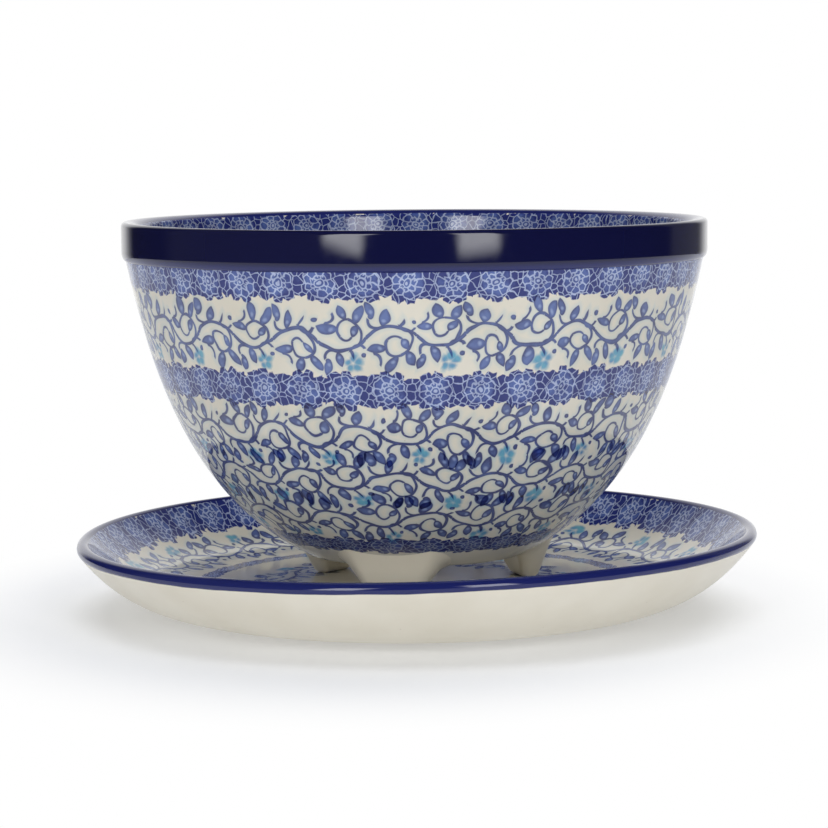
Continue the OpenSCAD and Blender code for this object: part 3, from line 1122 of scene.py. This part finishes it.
def addSoftbox(name, degrees, distance, height, width, tall, brightness, lean):
    # a lit panel that faces the bowl and fades towards its edges, as cloth over a lamp does
    corners = [(x * width / 2, y * tall / 2, 0) for x, y in ((-1, -1), (1, -1), (1, 1), (-1, 1))]
    panel = bpy.data.meshes.new(name)
    panel.from_pydata(corners, [], [(0, 1, 2, 3)])
    material, tree = newMaterial(name)
    parts = addNode(tree, "SeparateXYZ", {0: addNode(tree, "TexCoord").outputs["Object"]})
    level = brightness
    for axis, span in ((0, width), (1, tall)):
        off = addNode(tree, "Math", {0: parts.outputs[axis]}, "ABSOLUTE")
        near = addNode(tree, "MapRange", {0: off, 1: span / 2, 2: span / 2 - studio["softEdge"]}, **smooth)
        level = addNode(tree, "Math", {0: near, 1: level}, "MULTIPLY")
    addNode(tree, "OutputMaterial", {"Surface": addNode(tree, "Emission", {"Strength": level})})
    panel.materials.append(material)
    box = bpy.data.objects.new(name, panel)
    a = math.radians(degrees)
    away = Vector((distance * math.sin(a), -distance * math.cos(a), 0))
    box.location = away + Vector((0, 0, height))
    facing = away.to_track_quat("-Z", "Y").to_matrix()
    box.rotation_euler = (facing @ Matrix.Rotation(math.radians(lean), 3, "Z")).to_euler()
    box.visible_camera = False
    bpy.context.scene.collection.objects.link(box)


def addTopLamp():
    lamp = bpy.data.lights.new("topSoftbox", "AREA")
    lamp.size = studio["topSize"]
    lamp.energy = studio["topBrightness"] * math.pi * studio["topSize"] ** 2
    top = bpy.data.objects.new("topSoftbox", lamp)
    top.location = studio["topPlace"]
    top.visible_camera = False
    top.visible_glossy = False
    bpy.context.scene.collection.objects.link(top)


def whitePaper(name):
    # matt white paper: the camera sees it lifted to the white of the picture, with the shadow kept
    material, tree = newMaterial(name)
    grain = addNode(tree, "TexNoise", {"Scale": studio["paperGrain"]})
    tone = addNode(tree, "MapRange", {0: grain})
    papers = {0: tone, 6: fromHex(studio["paper"]), 7: fromHex(studio["paperLight"])}
    color = addNode(tree, "Mix", papers, **paint)
    paper = addNode(tree, "BsdfDiffuse", {"Color": color})
    lift = addNode(tree, "Emission", {"Color": white, "Strength": studio["paperLift"]})
    lifted = addNode(tree, "AddShader", {0: paper, 1: lift})
    plain = addNode(tree, "Emission", {"Color": white, "Strength": 1.0})
    place = addNode(tree, "TexCoord").outputs["Object"]
    spread = addNode(tree, "VectorMath", {0: place, 1: studio["fadeMiddle"]}, "SUBTRACT")
    spread = addNode(tree, "VectorMath", {0: spread, 1: studio["fadeSpread"]}, "MULTIPLY")
    away = addNode(tree, "VectorMath", {0: spread}, "LENGTH")
    near, far = studio["floorFade"]
    fade = addNode(tree, "MapRange", {0: away, 1: near, 2: far}, **smooth)
    faded = addNode(tree, "MixShader", {0: fade, 1: lifted, 2: plain})
    path = addNode(tree, "LightPath")
    seen = addNode(tree, "MixShader", {0: path.outputs["Is Camera Ray"], 1: lifted, 2: faded})
    addNode(tree, "OutputMaterial", {"Surface": seen})
    return material


def addFloor():
    edge = ringPoints(Vector((0, 0)), studio["floorRadius"], studio["floorSides"])
    mesh = bpy.data.meshes.new("floor")
    mesh.from_pydata([(p.x, p.y, 0) for p in edge], [], [range(len(edge))])
    mesh.materials.append(whitePaper("whitePaper"))
    floor = bpy.data.objects.new("floor", mesh)
    floor.location.z = -studio["floorDrop"]
    bpy.context.scene.collection.objects.link(floor)


def makeRoom():
    # a white sweep behind the bowl, not far out to the sides and not overhead, in a dark room with
    # two lighter parts; the camera sees plain white all round
    world = bpy.data.worlds.new("studio")
    bpy.context.scene.world = world
    world.use_nodes = True
    tree = world.node_tree
    tree.nodes.clear()
    direction = addNode(tree, "SeparateXYZ", {0: addNode(tree, "TexCoord").outputs["Generated"]}).outputs
    lit = 1.0
    for axis, dark, full in studio["sweep"]:
        part = addNode(tree, "MapRange", {0: direction[axis], 1: dark, 2: full}, **smooth)
        lit = addNode(tree, "Math", {0: lit, 1: part}, "MULTIPLY")
    level = addNode(tree, "MapRange", {0: lit, 3: studio["roomDark"], 4: studio["sweepWhite"]})
    for brightness, sideStart, sideFull, backStart, backFull in studio["roomLight"]:
        side = addNode(tree, "MapRange", {0: direction[0], 1: sideStart, 2: sideFull, 4: brightness})
        back = addNode(tree, "MapRange", {0: direction[1], 1: backStart, 2: backFull})
        level = addNode(tree, "Math", {0: side, 1: back, 2: level}, "MULTIPLY_ADD")
    path = addNode(tree, "LightPath")
    strength = addNode(tree, "Mix", {0: path.outputs["Is Camera Ray"], 2: level, 3: 1.0})
    background = addNode(tree, "Background", {"Color": white, "Strength": strength})
    addNode(tree, "OutputWorld", {"Surface": background})


for settings in studio["boxes"]:
    addSoftbox(*settings)
addTopLamp()
addFloor()
makeRoom()
bpy.context.scene.view_settings.view_transform = "Standard"
print("studio set")
